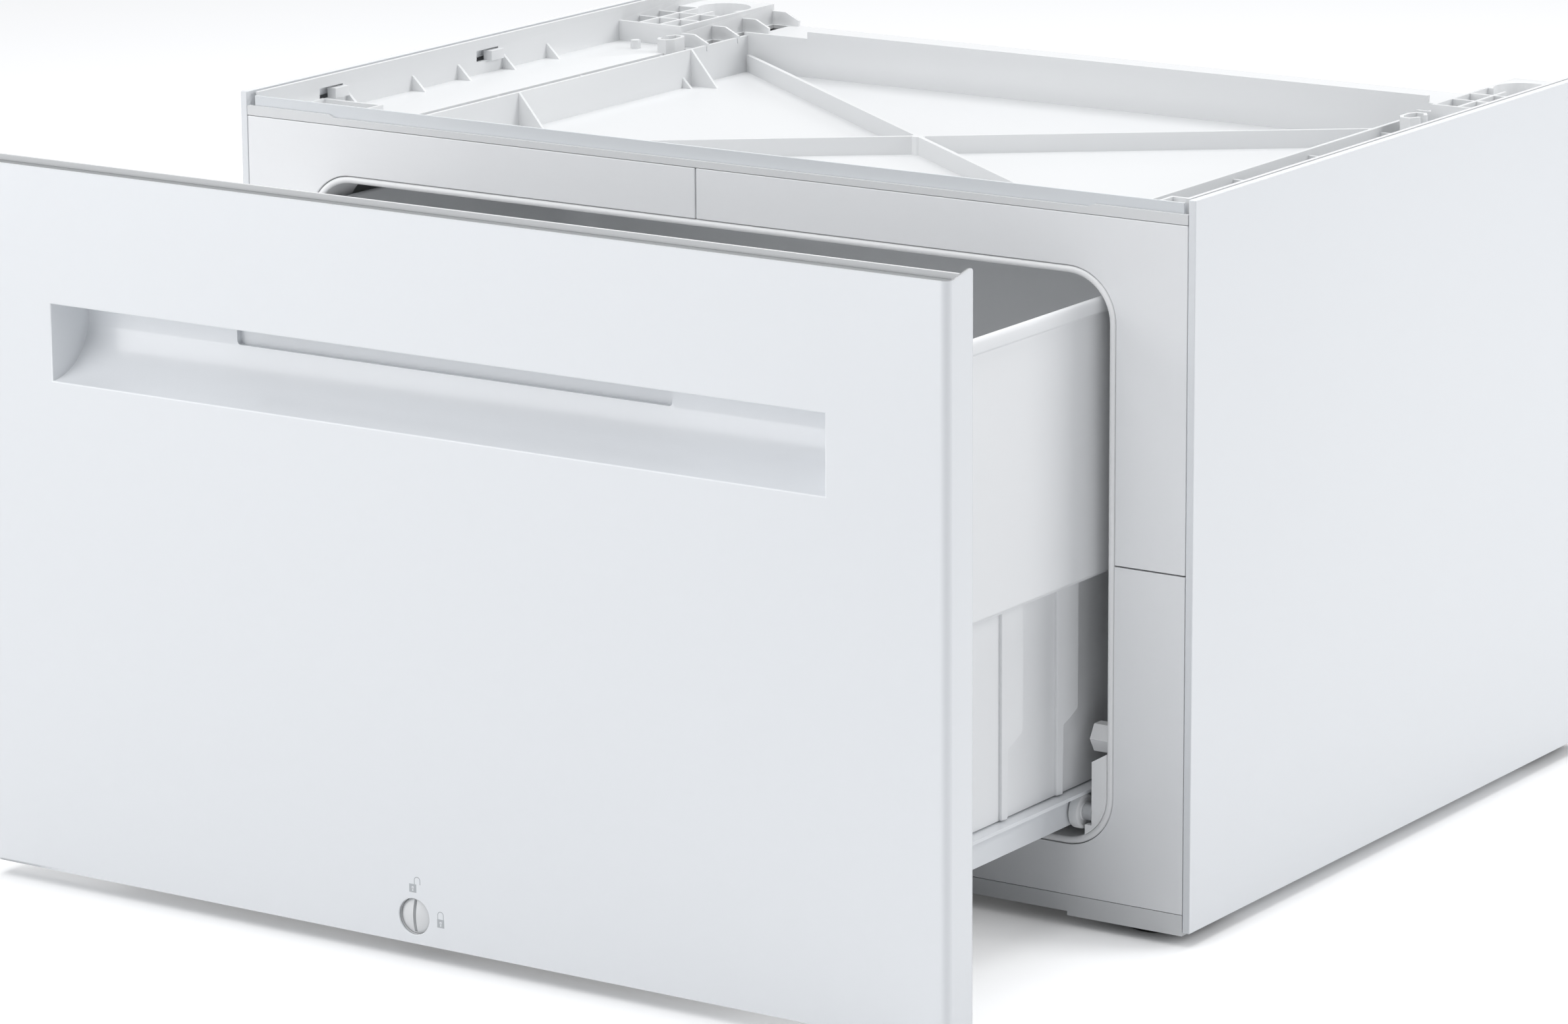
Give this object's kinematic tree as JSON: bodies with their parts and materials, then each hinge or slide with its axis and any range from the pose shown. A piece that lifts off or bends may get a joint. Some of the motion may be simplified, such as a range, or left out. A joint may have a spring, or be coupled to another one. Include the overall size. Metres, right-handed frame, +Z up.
{
  "type": "laundry pedestal drawer",
  "caption": "White laundry pedestal with a pull-out storage drawer on rollers, a recessed handle, a coin lock and a ribbed top tray that holds a washing machine's feet.",
  "frame": {"origin": "on the floor, under the middle of the whole part with the drawer standing open", "axes": "+X to the right seen from the front, +Y from the door towards the back, +Z up"},
  "size_m": [0.6, 0.6762, 0.388],
  "materials": {
    "painted_white": "gloss white paint",
    "moulded_white": "satin moulded white plastic",
    "bin_plastic": "satin light grey-white plastic",
    "grey_core": "matt grey filler",
    "grey_steel": "satin light grey paint",
    "zinc_steel": "zinc-plated steel",
    "roller_plastic": "satin roller plastic",
    "dark_rubber": "matt black rubber and stem"
  },
  "bodies": {
    "cabinet": {"side_panel_left": "painted_white", "side_panel_right": "painted_white", "back_panel": "zinc_steel", "top_tray": "moulded_white", "top_front_rail": "grey_steel", "bottom_tray": "moulded_white", "opening_liner": "moulded_white", "frame_upper_left": "painted_white", "frame_upper_right": "painted_white", "frame_lower_left": "painted_white", "frame_lower_right": "painted_white", "roller_bracket_left": "moulded_white", "roller_bracket_right": "moulded_white", "front_axle_left": "zinc_steel", "front_axle_right": "zinc_steel", "cabinet_rail_left": "zinc_steel", "cabinet_rail_right": "zinc_steel", "back_screw_1_left": "zinc_steel", "back_screw_1_right": "zinc_steel", "back_screw_2_left": "zinc_steel", "back_screw_2_right": "zinc_steel", "back_screw_3_left": "zinc_steel", "back_screw_3_right": "zinc_steel"},
    "drawer": {"door_skin": "painted_white", "door_core": "grey_core", "door_inner_panel": "moulded_white", "handle_scoop": "painted_white", "lock_housing": "moulded_white", "drawer_bin": "bin_plastic", "drawer_runner_left": "painted_white", "drawer_runner_right": "painted_white", "rear_axle_left": "zinc_steel", "rear_axle_right": "zinc_steel", "bin_screw_1_left": "zinc_steel", "bin_screw_1_right": "zinc_steel", "bin_screw_2_left": "zinc_steel", "bin_screw_2_right": "zinc_steel"},
    "lock": {"lock_knob": "moulded_white", "lock_cam": "zinc_steel", "lock_cam_screw": "zinc_steel"},
    "front_roller_left": {"front_roller_left": "roller_plastic"},
    "rear_roller_left": {"rear_roller_left": "roller_plastic"},
    "foot_front_left": {"foot_front_left": "dark_rubber"},
    "foot_rear_left": {"foot_rear_left": "dark_rubber"},
    "front_roller_right": {"front_roller_right": "roller_plastic"},
    "rear_roller_right": {"rear_roller_right": "roller_plastic"},
    "foot_front_right": {"foot_front_right": "dark_rubber"},
    "foot_rear_right": {"foot_rear_right": "dark_rubber"}
  },
  "joints": [
    {"name": "drawer_slide", "type": "slide", "parent": "cabinet", "child": "drawer", "axis": [0, -1, 0], "range_m": [-0.202, 0.158]},
    {"name": "lock_turn", "type": "hinge", "parent": "drawer", "child": "lock", "pos_m": [-0.0209, -0.3377, 0.0231], "axis": [0, 1, 0], "range_deg": [0, 90]},
    {"name": "front_roller_left_spin", "type": "hinge", "parent": "cabinet", "child": "front_roller_left", "pos_m": [-0.23405, -0.1089, 0.0626], "axis": [1, 0, 0], "range_deg": [-1300, 1000]},
    {"name": "rear_roller_left_spin", "type": "hinge", "parent": "drawer", "child": "rear_roller_left", "pos_m": [-0.244, 0.1011, 0.0623], "axis": [1, 0, 0], "range_deg": [-1300, 1000]},
    {"name": "foot_front_left_height", "type": "slide", "parent": "cabinet", "child": "foot_front_left", "axis": [0, 0, -1], "range_m": [0, 0.012]},
    {"name": "foot_rear_left_height", "type": "slide", "parent": "cabinet", "child": "foot_rear_left", "axis": [0, 0, -1], "range_m": [0, 0.012]},
    {"name": "front_roller_right_spin", "type": "hinge", "parent": "cabinet", "child": "front_roller_right", "pos_m": [0.23405, -0.1089, 0.0626], "axis": [1, 0, 0], "range_deg": [-1300, 1000]},
    {"name": "rear_roller_right_spin", "type": "hinge", "parent": "drawer", "child": "rear_roller_right", "pos_m": [0.244, 0.1011, 0.0623], "axis": [1, 0, 0], "range_deg": [-1300, 1000]},
    {"name": "foot_front_right_height", "type": "slide", "parent": "cabinet", "child": "foot_front_right", "axis": [0, 0, -1], "range_m": [0, 0.012]},
    {"name": "foot_rear_right_height", "type": "slide", "parent": "cabinet", "child": "foot_rear_right", "axis": [0, 0, -1], "range_m": [0, 0.012]}
  ],
  "couplings": [
    {"joint": "front_roller_left_spin", "follows": "drawer_slide", "rad_per_m": 108.7},
    {"joint": "rear_roller_left_spin", "follows": "drawer_slide", "rad_per_m": 108.7},
    {"joint": "front_roller_right_spin", "follows": "drawer_slide", "rad_per_m": 108.7},
    {"joint": "rear_roller_right_spin", "follows": "drawer_slide", "rad_per_m": 108.7}
  ]
}
